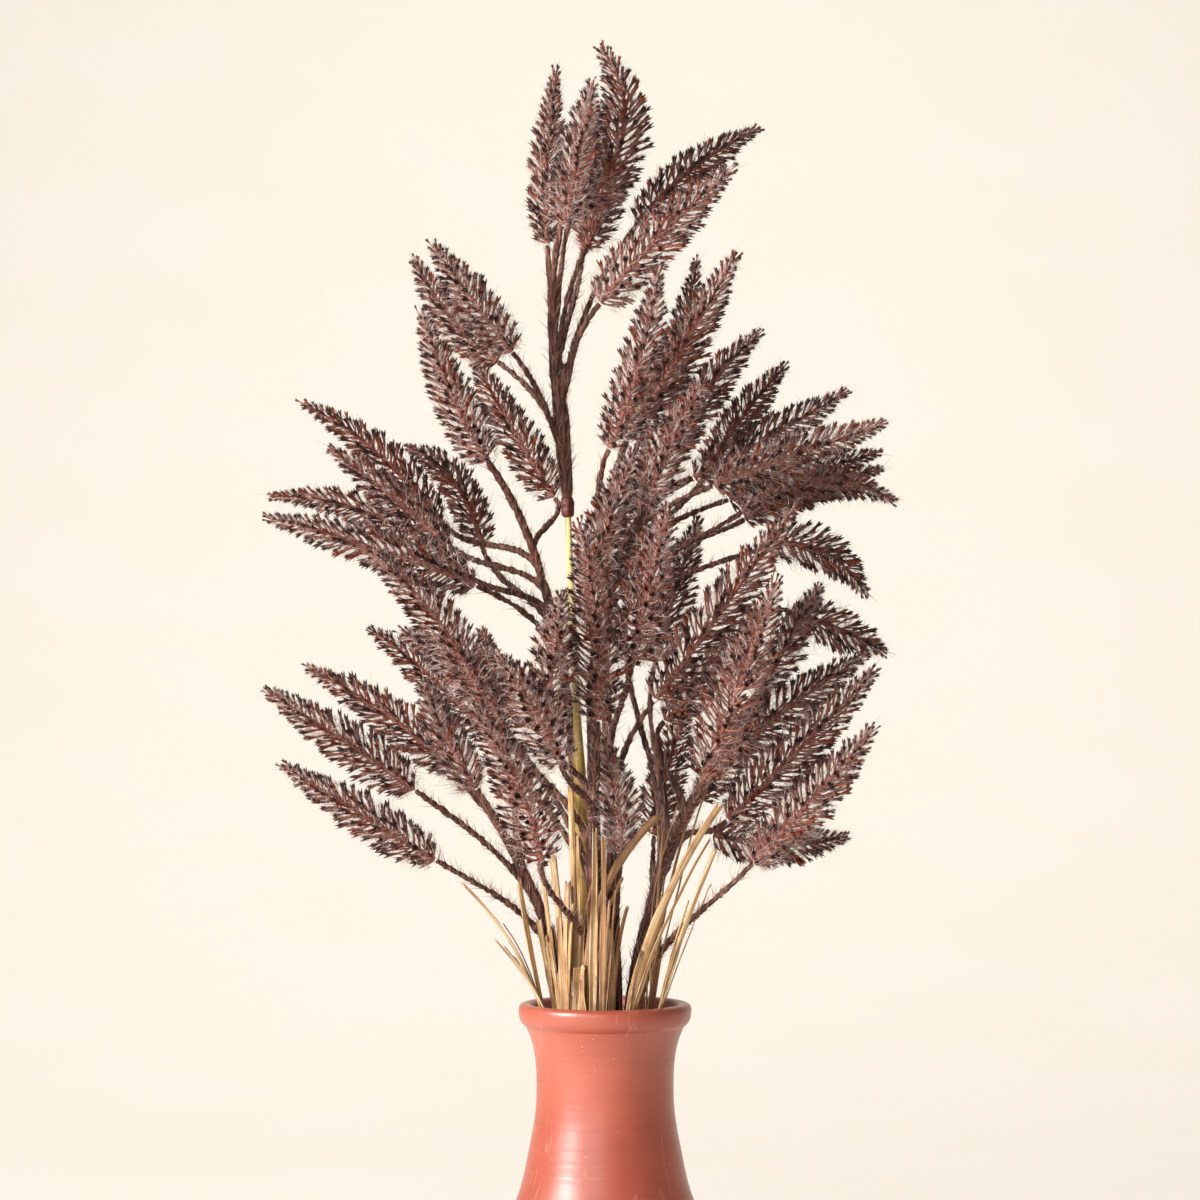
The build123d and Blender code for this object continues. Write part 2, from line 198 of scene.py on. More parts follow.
def stem_material():
    """Dried stalk: furrows painted near-black as shade between paler fibres, with rusty patches."""
    m = Nodes("dried_stem", 0.8)
    fibres = m.noise(640, (1, 1, 0.07), 4, 0.62, 0.3)
    patches = m.noise(45, (1, 1, 0.5), 3)
    # painted shade: the colour follows the bump's height, near-black down in the furrows and paler
    # on the raised fibres
    colour = m.ramp(
        fibres,
        [(0.3, "1C100E"), (0.44, "472A22"), (0.54, "6E4638"), (0.66, "96685A"), (0.8, "B89082")],
    )
    rust = m.ramp(patches, [(0.5, 0.0), (0.72, 0.65)])
    colour = m.mix(rust, colour, "6F3323")
    m.colour(colour)
    m.roughness(m.ramp(patches, [(0.3, 0.65), (0.8, 0.92)]))
    m.bump(fibres, 1.0, 0.0016)
    return m.material


def husk_material():
    """Papery leaf: long fibres, brown blotches and a foot painted darker as shade.

    The "tint" attribute holds how far along a strip a point is, how far across
    it, and a tone of the strip's own.
    """
    m = Nodes("husk", 0.7)
    along, _, own = m.tint()
    ridges = m.add("ShaderNodeTexNoise")
    ridges.noise_dimensions = "2D"
    ridges.inputs["Scale"].default_value = 1.0
    ridges.inputs["Detail"].default_value = 4.0
    stretched = m.add("ShaderNodeMapping")
    stretched.inputs["Scale"].default_value = (2600, 30, 1)
    m.link(m.add("ShaderNodeUVMap", uv_map="leaf").outputs["UV"], stretched.inputs["Vector"])
    m.link(stretched.outputs["Vector"], ridges.inputs["Vector"])
    fibre = ridges.outputs["Fac"]
    tan = m.ramp(fibre, [(0.32, "9A6236"), (0.44, "C8965E"), (0.54, "E4C08C"), (0.68, "FBEED2")])
    brown = m.ramp(fibre, [(0.32, "5E3220"), (0.48, "96603E"), (0.68, "D0A476")])
    colour = m.mix(m.ramp(own, [(0.55, 0.0), (0.95, 0.85)]), tan, brown)
    blotch = m.ramp(m.noise(90, (1, 1, 0.6), 4), [(0.52, 0.0), (0.7, 0.7)])
    colour = m.mix(blotch, colour, "7E5233")
    # painted shade: the lower part of each strip, down by the vase's lip, is darkened
    low = m.ramp(along, [(0.0, 0.55), (0.3, 0.12), (0.5, 0.0)])
    m.colour(m.mix(low, colour, "5C3A26"))
    m.roughness(m.ramp(fibre, [(0.3, 0.55), (0.7, 0.8)]))
    m.bump(fibre, 0.7, 0.0005)
    return m.material


REED_TOP = 0.55  # the colours up the reed are placed as shares of this height


def reed_material():
    """The culm: olive sheath low down, pale straw above, with fine length streaks."""
    m = Nodes("reed", 0.42)
    height = m.add("ShaderNodeSeparateXYZ")
    m.link(m.coordinates.outputs["Object"], height.inputs["Vector"])
    share = m.math("DIVIDE", height.outputs["Z"], REED_TOP)
    base = m.ramp(
        share,
        [(0.5, "8A6A30"), (0.66, "A98A3C"), (0.78, "C2A552"), (0.88, "DECB7C"), (0.97, "E9DC98")],
    )
    streak = m.noise(420, (1, 1, 0.03), 4, 0.6)
    colour = m.mix(m.ramp(streak, [(0.45, 0.0), (0.75, 0.7)]), base, "7C5A28")
    spots = m.noise(160, (1, 1, 0.5), 2)
    colour = m.mix(m.ramp(spots, [(0.62, 0.0), (0.72, 0.6)]), colour, "5E4324")
    m.colour(colour)
    m.roughness(m.ramp(streak, [(0.3, 0.34), (0.8, 0.55)]))
    m.bump(streak, 0.35, 0.0005)
    return m.material


def bud_material():
    """The reed's shiny bud: red-brown with length streaks."""
    m = Nodes("bud", 0.36)
    streak = m.noise(500, (1, 1, 0.18), 4, 0.6)
    m.colour(m.ramp(streak, [(0.25, "3A1A14"), (0.5, "6A3226"), (0.7, "8E4A38"), (0.85, "B57A66")]))
    m.roughness(m.ramp(streak, [(0.3, 0.28), (0.8, 0.5)]))
    m.bump(streak, 0.5, 0.0006)
    return m.material


def cord_material():
    """Twisted straw-coloured cord."""
    m = Nodes("tie_cord", 0.85)
    twist = m.add("ShaderNodeTexWave", bands_direction="DIAGONAL")
    twist.inputs["Scale"].default_value = 260
    twist.inputs["Distortion"].default_value = 1.5
    m.link(m.place(), twist.inputs["Vector"])
    m.colour(m.ramp(twist.outputs["Fac"], [(0.1, "6E5334"), (0.55, "A98658"), (0.9, "CDB084")]))
    m.bump(twist.outputs["Fac"], 0.8, 0.0008)
    return m.material


def clay_material():
    """Burnished red clay with faint turning rings, scratches and pale specks."""
    m = Nodes("terracotta", 0.45)
    cloud = m.noise(9, (1, 1, 1.6), 4, 0.55)
    colour = m.ramp(cloud, [(0.3, "A94B36"), (0.5, "B6543D"), (0.72, "C56148")])
    rings = m.noise(55, (0.06, 0.06, 3.2), 5, 0.6, 0.2)
    colour = m.mix(m.ramp(rings, [(0.5, 0.0), (0.8, 0.22)]), colour, "93432F")
    colour = m.mix(m.ramp(rings, [(0.18, 0.22), (0.42, 0.0)]), colour, "D58066")
    fine = m.noise(900, (1, 1, 1), 2, 0.5)
    colour = m.mix(m.ramp(fine, [(0.58, 0.0), (0.78, 0.35)]), colour, "8C4130")
    specks = m.add("ShaderNodeTexVoronoi")
    specks.inputs["Scale"].default_value = 240
    m.link(m.place(), specks.inputs["Vector"])
    dot = m.ramp(specks.outputs["Distance"], [(0.05, 0.7), (0.12, 0.0)])
    sparse = m.ramp(m.noise(60, (1, 1, 1), 1), [(0.56, 0.0), (0.62, 1.0)])
    colour = m.mix(m.math("MULTIPLY", dot, sparse), colour, "E3A48C")
    scratches = m.noise(130, (1.0, 1.0, 0.05), 2, 0.5, 1.2)
    scratch = m.ramp(scratches, [(0.66, 0.0), (0.70, 0.4), (0.74, 0.0)])
    colour = m.mix(scratch, colour, "DA9078")
    m.colour(colour)
    m.roughness(m.ramp(rings, [(0.3, 0.34), (0.7, 0.48)]))
    m.shader.inputs["Specular IOR Level"].default_value = 0.85
    m.shader.inputs["Coat Weight"].default_value = 0.4
    m.shader.inputs["Coat Roughness"].default_value = 0.36
    height = m.math("ADD", rings, m.math("MULTIPLY", fine, 0.12))
    m.bump(height, 0.2, 0.0008)
    return m.material


FLORETS = floret_material()
FUZZ = fuzz_material()
STEMS = stem_material()
HUSK = husk_material()
REED = reed_material()
BUD = bud_material()
CORD = cord_material()
CLAY = clay_material()


# ---------------------------------------------------------------- mesh helpers
SAME_POINT = 1e-6  # corners of a CAD mesh closer than this are one point
SLANTED = (0.3, 0.5, 0.8)  # a direction that no spike runs along
SPIKE_CUTS = 15
CUT_MARGIN = 0.015  # the first and last cut stand this share of the length from the ends


def link_object(name, data):
    """A new object in the scene, around a mesh, a lamp or a camera."""
    holder = bpy.data.objects.new(name, data)
    bpy.context.scene.collection.objects.link(holder)
    return holder


def shade_smooth(mesh):
    mesh.polygons.foreach_set("use_smooth", np.full(len(mesh.polygons), True))


def tube_faces(rings, sides):
    """Quads around a tube whose points stand ring by ring."""
    faces = []
    for ring in range(rings - 1):
        for k in range(sides):
            a, b = ring * sides + k, ring * sides + (k + 1) % sides
            faces.append((a, b, b + sides, a + sides))
    return faces


def islands(node):
    """The separate solids of a CAD node, as (points, edges), in metres."""
    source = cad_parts[node]
    bm = bmesh.new()
    bm.from_mesh(source.data)
    bm.transform(source.matrix_world)
    bmesh.ops.remove_doubles(bm, verts=bm.verts, dist=SAME_POINT)
    bm.verts.ensure_lookup_table()
    seen = np.full(len(bm.verts), -1)
    found = []
    for vert in bm.verts:
        if seen[vert.index] >= 0:
            continue
        label = len(found)
        waiting = [vert]
        seen[vert.index] = label
        members = []
        while waiting:
            v = waiting.pop()
            members.append(v)
            for edge in v.link_edges:
                other = edge.other_vert(v)
                if seen[other.index] < 0:
                    seen[other.index] = label
                    waiting.append(other)
        order = {v.index: i for i, v in enumerate(members)}
        points = np.array([v.co[:] for v in members])
        edges = {e.index: e for v in members for e in v.link_edges}
        pairs = np.array([[order[v.index] for v in e.verts] for e in edges.values()])
        found.append((points, pairs))
    bm.free()
    return found


def cut(points, edges, height, direction):
    """The points where a plane at that height along direction cuts the edges."""
    depth = points @ direction - height
    first, second = depth[edges[:, 0]], depth[edges[:, 1]]
    crossing = first * second < 0
    share = (first / (first - second + 1e-30))[crossing, None]
    start = points[edges[crossing, 0]]
    return start + share * (points[edges[crossing, 1]] - start)


def smooth_line(stations, places, count):
    """count points along a cubic fitted through the stations."""
    fits = [np.polyfit(places, stations[:, k], 3) for k in range(3)]
    even = np.linspace(places[0], places[-1], count)
    return np.column_stack([np.polyval(fit, even) for fit in fits])


def spindle_axis(points, edges, count=41):
    """The axis of one CAD spike from its base to its tip, and its core's radius."""
    centre = points.mean(axis=0)
    direction = np.linalg.svd(points - centre, full_matrices=False)[2][0]
    low, high = (points @ direction).min(), (points @ direction).max()
    side = np.cross(direction, SLANTED)
    side /= np.linalg.norm(side)
    other = np.cross(direction, side)
    heights = low + (high - low) * np.linspace(CUT_MARGIN, 1 - CUT_MARGIN, SPIKE_CUTS)
    stations = []
    radii = []
    for height in heights:
        ring = cut(points, edges, height, direction)
        across = (ring @ side).min(), (ring @ side).max()
        over = (ring @ other).min(), (ring @ other).max()
        middle = side * sum(across) / 2 + other * sum(over) / 2 + direction * height
        stations.append(middle)
        radii.append(((across[1] - across[0]) + (over[1] - over[0])) / 4)
    stations = np.array(stations)
    if radii[0] < radii[-1]:
        stations = stations[::-1]
    places = np.linspace(0, 1, len(stations))
    return smooth_line(stations, places, count), max(radii)


def frames_along(line):
    """Unit tangents and two unit sides at each point of a line."""
    tangent = np.gradient(line, axis=0)
    tangent /= np.linalg.norm(tangent, axis=1)[:, None]
    overall = line[-1] - line[0]
    reference = np.eye(3)[np.argmin(np.abs(overall))]
    side = np.cross(tangent, reference)
    side /= np.linalg.norm(side, axis=1)[:, None]
    return tangent, side, np.cross(tangent, side)


def at(values, places):
    """Rows of values interpolated at places from 0 to 1."""
    steps = np.linspace(0, 1, len(values))
    return np.column_stack([np.interp(places, steps, values[:, k]) for k in range(3)])


def unit(rows):
    """The same directions at length one."""
    return rows / np.maximum(np.linalg.norm(rows, axis=-1, keepdims=True), 1e-9)


class Builder:
    """Gathers vertices, faces, tint values and map places for one object.

    A face's kind is the place of its material among those given to finish.
    """

    def __init__(self):
        self.points, self.tints, self.maps, self.faces, self.kinds = [], [], [], [], []
        self.count = 0

    def add(self, points, tints, maps, face_groups, kind):
        """Add points and arrays of faces, which count from the first of these points."""
        self.points.append(points)
        self.tints.append(tints)
        self.maps.append(maps)
        for faces in face_groups:
            self.faces += [tuple(row) for row in (faces + self.count).tolist()]
            self.kinds += [kind] * len(faces)
        self.count += len(points)

    def finish(self, name, materials):
        mesh = bpy.data.meshes.new(name)
        points = np.concatenate(self.points)
        mesh.from_pydata(points, [], self.faces)
        tint = mesh.color_attributes.new("tint", "FLOAT_COLOR", "POINT")
        values = np.column_stack([np.concatenate(self.tints), np.ones(len(points))])
        tint.data.foreach_set("color", values.astype(np.float32).ravel())
        corner = np.empty(len(mesh.loops), dtype=np.int32)
        mesh.loops.foreach_get("vertex_index", corner)
        places = np.concatenate(self.maps)[corner]
        layer = mesh.uv_layers.new(name="OFBake")
        layer.data.foreach_set("uv", places.astype(np.float32).ravel())
        for material in materials:
            mesh.materials.append(material)
        mesh.polygons.foreach_set("material_index", np.array(self.kinds, dtype=np.int32))
        shade_smooth(mesh)
        mesh.update()
        return link_object(name, mesh)


# ---------------------------------------------------------------- spikes
SIDES = 5
SPOKES = np.arange(SIDES) * 2 * np.pi / SIDES
FLORET_KIND, HAIR_KIND = 0, 1  # the places of a spike's two materials
WHORL_PITCH = 4.3 * MM
ROWS = 7  # florets in a whorl
SPIRAL = 0.9  # how far the rows turn about the axis from base to tip, in radians
CORE_SHARE = 0.62  # a CAD spike's radius as a share of the spike's with its florets

# the outline of a spike: places along it, and its half width there as a share of its reach
PLACES = (0, 0.06, 0.2, 0.4, 0.65, 0.86, 1)
WIDTHS = (0.62, 0.86, 1.02, 0.97, 0.72, 0.36, 0.13)

# a floret's angle to the axis at its root and at its end, in degrees, by place on the spike
ANGLE_PLACES = (0, 0.5, 0.9, 1)
ROOT_ANGLES = (76, 62, 50, 25)
END_ANGLES = (54, 43, 38, 12)

# a floret's size, by place on the spike
SIZE_PLACES = (0, 0.5, 0.85, 1)
SIZES = (1.0, 0.95, 0.66, 0.5)

# how much florets differ: place in whorls, turn and angles in radians, reach and size as shares
PLACE_SPREAD = 0.22
TURN_SPREAD = 0.16
ROOT_ANGLE_SPREAD = 0.07
END_ANGLE_SPREAD = 0.10
REACH_RANGE = (0.86, 1.07)
SIZE_RANGE = (0.85, 1.15)
TOOTH_RANGE = (0.6, 1.3)
LAST_PLACE = 0.995

# a floret: rings up its stalk (share of the stalk, radius in mm), its cup, and its claw's teeth
ROOT_OFFSET = 0.8  # mm from the spike's axis
STALK_RINGS = ((0.0, 0.62), (0.34, 0.55), (0.68, 0.60), (1.0, 0.95))
SHORTEST_STALK = 0.4 * MM
CLAW_LENGTH = 3.9 * MM
CUP_LENGTH = 1.7 * MM
CUP_RADIUS = 1.35  # mm
TOOTH_LENGTH = 2.5 * MM
TOOTH_SPREAD = 1.8 * MM
TOOTH_TURN = 0.6  # the teeth stand between the corners of the cup
STALK_TINT, CUP_TINT = 0.7, 0.82  # how far along in colour the stalk and the cup reach

# the map for the bake: hairs in a low band, florets above it, each across by its own value
MAP_EDGE = 0.01
MAP_SPAN = 0.96
MAP_STEP = 0.012
HAIR_BAND = 0.22
FLORET_BAND = (0.27, 0.99)
HAIR_POINTS = 6

# down: fine hairs on the barest spike, and how many more on the palest
BARE_HAIRS = 1100
MORE_HAIRS = 1900
HAIR_CURL = 1.3
HAIR_LENGTHS = (3.0, 7.5)  # mm
HAIR_WIDTHS = (0.18, 0.32)  # mm
HAIR_NARROWING = 0.75  # how much of its width a hair has lost at its tip
HAIR_ROOTS = (0.03, 0.72)  # squares of the share of the spike's half width they stand at
HAIR_SPREAD = 0.75
LAST_HAIR = 0.98
STRAYS = 7  # longer hairs at the tip
STRAY_WIDTH = 0.4 * MM
STRAY_LENGTHS = (5, 11)  # mm
STRAY_START = 4  # mm below the tip
STRAY_SPREAD = 0.22
STRAY_CURL = 0.8

# the stalk inside a spike: places along it, radii in mm
RACHIS_PLACES = (0, 0.6, 1)
RACHIS_RADII = (1.6, 1.1, 0.35)
RACHIS_TINT = (0.25, 0.5)

# how pale a spike is painted, by how far back its middle stands, in mm: painted light makes the
# front spikes pale and painted shade makes the back ones dark; the front ones also carry more down,
# the back ones are bare
DEPTHS = (-70, -30, 0, 40)
PAINTED_LIGHTS = (1.0, 0.95, 0.72, 0.28)
LIGHT_SPREAD = 0.12


def add_florets(builder, line, reach, light, random):
    """Rows of stalked, clawed florets along a spike's axis. reach is its half width."""
    tangent, side, other = frames_along(line)
    length = np.linalg.norm(np.diff(line, axis=0), axis=1).sum()
    whorls = int(length / WHORL_PITCH)
    index = np.arange(whorls * ROWS)
    light = np.full(len(index), light)
    row = index % ROWS
    shift = random.uniform(-PLACE_SPREAD, PLACE_SPREAD, len(index))
    place = (index // ROWS + 0.5 * (row % 2) + shift) / whorls
    place = np.clip(place, 0.0, LAST_PLACE)
    turn = 2 * np.pi * row / ROWS + random.normal(0, TURN_SPREAD, len(index)) + SPIRAL * place
    width = np.interp(place, PLACES, WIDTHS)
    width = width * reach * random.uniform(*REACH_RANGE, len(index))
    start_angle = np.radians(np.interp(place, ANGLE_PLACES, ROOT_ANGLES))
    end_angle = np.radians(np.interp(place, ANGLE_PLACES, END_ANGLES))
    start_angle += random.normal(0, ROOT_ANGLE_SPREAD, len(index))
    end_angle += random.normal(0, END_ANGLE_SPREAD, len(index))
    scale = np.interp(place, SIZE_PLACES, SIZES)
    scale *= random.uniform(*SIZE_RANGE, len(index))
    claw = CLAW_LENGTH * scale
    stalk = width / np.sin((start_angle + end_angle) / 2) - claw
    stalk = np.maximum(stalk, SHORTEST_STALK)
    forward = at(tangent, place)
    outward = at(side, place) * np.cos(turn)[:, None] + at(other, place) * np.sin(turn)[:, None]
    across = np.cross(forward, outward)
    centre = at(line, place) + outward * ROOT_OFFSET * MM
    rings = []
    last = 0.0
    for share, radius in STALK_RINGS:
        angle = start_angle + (end_angle - start_angle) * share
        way = forward * np.cos(angle)[:, None] + outward * np.sin(angle)[:, None]
        centre = centre + way * (stalk * (share - last))[:, None]
        last = share
        rings.append((centre, way, angle, radius, share * STALK_TINT))
    cup = centre + way * (CUP_LENGTH * scale)[:, None]
    rings.append((cup, way, angle, CUP_RADIUS, CUP_TINT))
    points = []
    tints = []
    own = random.uniform(0, 1, len(index))
    for centre, way, angle, radius, share in rings:
        up = -forward * np.sin(angle)[:, None] + outward * np.cos(angle)[:, None]
        for spoke in SPOKES:
            offset = up * math.cos(spoke) + across * math.sin(spoke)
            points.append(centre + offset * (radius * MM * scale)[:, None])
            tints.append(np.column_stack([np.full(len(index), share), own, light]))
    for spoke in SPOKES + TOOTH_TURN:
        offset = up * math.cos(spoke) + across * math.sin(spoke)
        tooth = (TOOTH_LENGTH * scale * random.uniform(*TOOTH_RANGE, len(index)))[:, None]
        points.append(centre + way * tooth + offset * (TOOTH_SPREAD * scale)[:, None])
        tints.append(np.column_stack([np.ones(len(index)), own, light]))
    each = len(points)
    points = np.stack(points, axis=1).reshape(-1, 3)
    tints = np.stack(tints, axis=1).reshape(-1, 3)
    quads = tube_faces(len(rings), SIDES)
    rim = (len(rings) - 1) * SIDES
    teeth = [(rim + k, rim + (k + 1) % SIDES, rim + SIDES + k) for k in range(SIDES)]
    step = (np.arange(len(index)) * each)[:, None, None]
    quad_faces = (np.array(quads)[None] + step).reshape(-1, 4)
    tooth_faces = (np.array(teeth)[None] + step).reshape(-1, 3)
    maps = map_places(tints, each)
    builder.add(points, tints, maps, (quad_faces, tooth_faces), FLORET_KIND)


def map_places(tints, each):
    """Map places for the bake: across by the floret's own value, up by its length."""
    number = np.arange(len(tints)) % each
    spread = (number % SIDES) / SIDES * MAP_STEP
    across = MAP_EDGE + tints[:, 1] * MAP_SPAN + spread
    low, high = FLORET_BAND
    return np.column_stack([across, low + (high - low) * tints[:, 0]])


def add_hairs(builder, roots, ways, lengths, widths, light, random, kind, curl):
    """Thin curled ribbons, each of two quads, that narrow towards their tips."""
    count = len(roots)
    light = np.full(count, light)
    bend = unit(random.normal(0, 1, (count, 3)))
    side = unit(np.cross(ways, random.normal(0, 1, (count, 3))))
    own = random.uniform(0, 1, count)
    points = []
    tints = []
    for share in (0.0, 0.5, 1.0):
        centre = roots + ways * (lengths * share)[:, None]
        centre = centre + bend * (lengths * curl * share**2 * 0.5)[:, None]
        half = side * (widths * (1 - HAIR_NARROWING * share) / 2)[:, None]
        for sign in (-1, 1):
            points.append(centre + half * sign)
            tints.append(np.column_stack([np.full(count, share), own, light]))
    points = np.stack(points, axis=1).reshape(-1, 3)
    tints = np.stack(tints, axis=1).reshape(-1, 3)
    number = np.arange(len(points))
    across = MAP_EDGE + tints[:, 1] * MAP_SPAN + (number % 2) * MAP_STEP
    maps = np.column_stack([across, MAP_EDGE + HAIR_BAND * tints[:, 0]])
    strip = np.array([(0, 1, 3, 2), (2, 3, 5, 4)])
    faces = (strip[None] + (np.arange(count) * HAIR_POINTS)[:, None, None]).reshape(-1, 4)
    builder.add(points, tints, maps, (faces,), kind)


def add_rachis(builder, line, light):
    """The spike's own thin stalk, from its base to near its tip."""
    _, side, other = frames_along(line)
    radius = np.interp(np.linspace(0, 1, len(line)), RACHIS_PLACES, RACHIS_RADII) * MM
    points = np.stack(
        [line + (side * math.cos(s) + other * math.sin(s)) * radius[:, None] for s in SPOKES],
        axis=1,
    ).reshape(-1, 3)
    tints = np.tile([*RACHIS_TINT, light], (len(points), 1))
    maps = map_places(tints, SIDES)
    maps[:, 1] += np.repeat(np.linspace(0, 0.02, len(line)), SIDES)
    faces = np.array(tube_faces(len(line), SIDES))
    builder.add(points, tints, maps, (faces,), FLORET_KIND)


def make_spike(name, points, edges, body, replaced, seed):
    """One flower spike around its CAD core: its stalk, florets, down and stray hairs."""
    random = np.random.default_rng(seed)
    line, core = spindle_axis(points, edges)
    reach = core / CORE_SHARE
    # painted light and shade: the spike's colour is paler the further forward it stands and darker
    # the further back, plus a random tone of its own
    depth = line[len(line) // 2, 1] / MM
    light = float(np.interp(depth, DEPTHS, PAINTED_LIGHTS))
    light = min(max(light + random.uniform(-LIGHT_SPREAD, LIGHT_SPREAD), 0.0), 1.0)
    builder = Builder()
    add_rachis(builder, line, light)
    add_florets(builder, line, reach, light, random)
    tangent, side, other = frames_along(line)
    count = int(BARE_HAIRS + MORE_HAIRS * light)
    place = random.uniform(0.0, LAST_HAIR, count)
    turn = random.uniform(0, 2 * np.pi, count)
    outward = at(side, place) * np.cos(turn)[:, None] + at(other, place) * np.sin(turn)[:, None]
    profile = np.interp(place, PLACES, WIDTHS)
    radius = reach * profile * np.sqrt(random.uniform(*HAIR_ROOTS, count))
    forward = at(tangent, place)
    ways = unit(forward * 0.7 + outward * 0.7 + random.normal(0, HAIR_SPREAD, (count, 3)))
    lengths = random.uniform(*HAIR_LENGTHS, count) * MM * (0.45 + 0.55 * profile)
    widths = random.uniform(*HAIR_WIDTHS, count) * MM
    roots = at(line, place) + outward * radius[:, None]
    add_hairs(builder, roots, ways, lengths, widths, light, random, HAIR_KIND, HAIR_CURL)
    ends = np.repeat(line[-1][None], STRAYS, axis=0) - tangent[-1] * STRAY_START * MM
    ways = unit(tangent[-1] + random.normal(0, STRAY_SPREAD, (STRAYS, 3)))
    lengths = random.uniform(*STRAY_LENGTHS, STRAYS) * MM
    widths = np.full(STRAYS, STRAY_WIDTH)
    add_hairs(builder, ends, ways, lengths, widths, light, random, HAIR_KIND, STRAY_CURL)
    piece = builder.finish(name, (FLORETS, FUZZ))
    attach(piece, body)
    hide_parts(replaced)


# ---------------------------------------------------------------- stems
STEM_VOXEL = 0.95 * MM
FURROW_SCALES = (560, 560, 40)  # the furrows run up the stem
FURROW_DEPTH = 0.85  # mm
KNOT_SCALE = 60
KNOT_DEPTH = 0.35  # mm
SHRINKAGE = 0.1  # mm
FIBRES_FROM = 0.262  # stray fibres stand only above this height, just under the lip
FIBRES = 1500
FIBRE_LIFT = 0.45  # how far a fibre leans out from the stem
FIBRE_SPREAD = 0.22
FIBRE_ROOT = 0.2  # mm under the stem's surface
FIBRE_LENGTHS = (2.5, 8.0)  # mm
FIBRE_WIDTHS = (0.22, 0.42)  # mm
FIBRE_LIGHTS = (0.0, 0.5)
FIBRE_CURL = 0.35


def make_stems(name, node, body, seed):
    """The CAD stems remeshed finely, with furrows, knots and stray fibres."""
    random = np.random.default_rng(seed)
    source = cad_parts[node]
    copy = link_object("work", source.data.copy())
    copy.matrix_world = source.matrix_world
    remesh = copy.modifiers.new("remesh", "REMESH")
    remesh.mode = "VOXEL"
    remesh.voxel_size = STEM_VOXEL
    bpy.context.view_layer.update()
    evaluated = copy.evaluated_get(bpy.context.evaluated_depsgraph_get())
    mesh = bpy.data.meshes.new_from_object(evaluated)
    mesh.transform(source.matrix_world)
    bpy.data.objects.remove(copy)
    count = len(mesh.vertices)
    points = np.empty(count * 3)
    normals = np.empty(count * 3)
    mesh.vertices.foreach_get("co", points)
    mesh.vertices.foreach_get("normal", normals)
    points = points.reshape(-1, 3)
    normals = normals.reshape(-1, 3)
    furrow = np.empty(count)
    for i, p in enumerate(points):
        fibre = noise.noise(Vector(p * FURROW_SCALES))
        knot = noise.noise(Vector(p * KNOT_SCALE))
        furrow[i] = FURROW_DEPTH * fibre + KNOT_DEPTH * knot - SHRINKAGE
    moved = points + normals * (furrow * MM)[:, None]
    mesh.vertices.foreach_set("co", moved.ravel())
    shade_smooth(mesh)
    mesh.materials.clear()
    mesh.materials.append(STEMS)
    mesh.update()
    mesh.name = name
    stems = link_object(name, mesh)
    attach(stems, body)
    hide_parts(node)
    # stray fibres that lie along the stem and lift off it
    above = np.flatnonzero(points[:, 2] > FIBRES_FROM)
    chosen = random.choice(above, FIBRES)
    normal = normals[chosen]
    climb = np.array([0, 0, 1.0]) - normal * normal[:, 2:3]
    spread = random.normal(0, FIBRE_SPREAD, (FIBRES, 3))
    ways = unit(unit(climb) + normal * FIBRE_LIFT + spread)
    builder = Builder()
    add_hairs(
        builder,
        moved[chosen] - normal * FIBRE_ROOT * MM,
        ways,
        random.uniform(*FIBRE_LENGTHS, FIBRES) * MM,
        random.uniform(*FIBRE_WIDTHS, FIBRES) * MM,
        random.uniform(*FIBRE_LIGHTS, FIBRES),
        random,
        0,
        FIBRE_CURL,
    )
    fibres = builder.finish(f"{name}_fibres", (FUZZ,))
    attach(fibres, body)


# ---------------------------------------------------------------- husk blades
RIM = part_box("vase_body")[1][2]
STRIP_COLUMNS = 7
DISH = (0.16, 0.36)  # as a share of the strip's width
TWIST = 0.7  # radians, at most
END_WIDTH = (0.5, 0.95)  # as a share of the width at the foot
WAVER, RIPPLE, CREASE, SWAY = 0.10, 0.05, 0.12 * MM, 0.5 * MM
WAVER_RATE, RIPPLE_RATE, CREASE_RATE, SWAY_RATE = 11, 29, 9, 7
RAGGED = (1.6, 0.5)  # mm that the last row is torn back, more if wide, and the row before it
STRIP_MAP_WIDTH = 0.19
STRIP_MAP_PITCH = 0.2
STRIP_MAP_COLUMNS = 5  # strips stand beside each other on the map
STRIP_MAP_POINTS = 200  # after so many points the next strip moves to the next column
BLADE_CUTS = 26
BLADE_ROWS = 49
BLADE_WIDENING = 1.5  # the papery blade's width as a share of its CAD strip's
SPLITS = 4  # narrower strips beside each blade
SPLIT_ASIDE = (1.2, 5.0)  # mm to one side of the blade
SPLIT_OUT = (-1.6, 2.4)  # mm in front of it or behind
SPLIT_SHARE = (0.42, 0.97)  # of the blade's length
SPLIT_WIDTH = (0.35, 0.8)  # of its width
SPLIT_TONE = 0.5
SHORTEST_SPLIT = 12  # rows
SPREAD_HEIGHT = 40 * MM  # the splits leave the blade over this height above the rim
HUSK_THICKNESS = 0.35 * MM


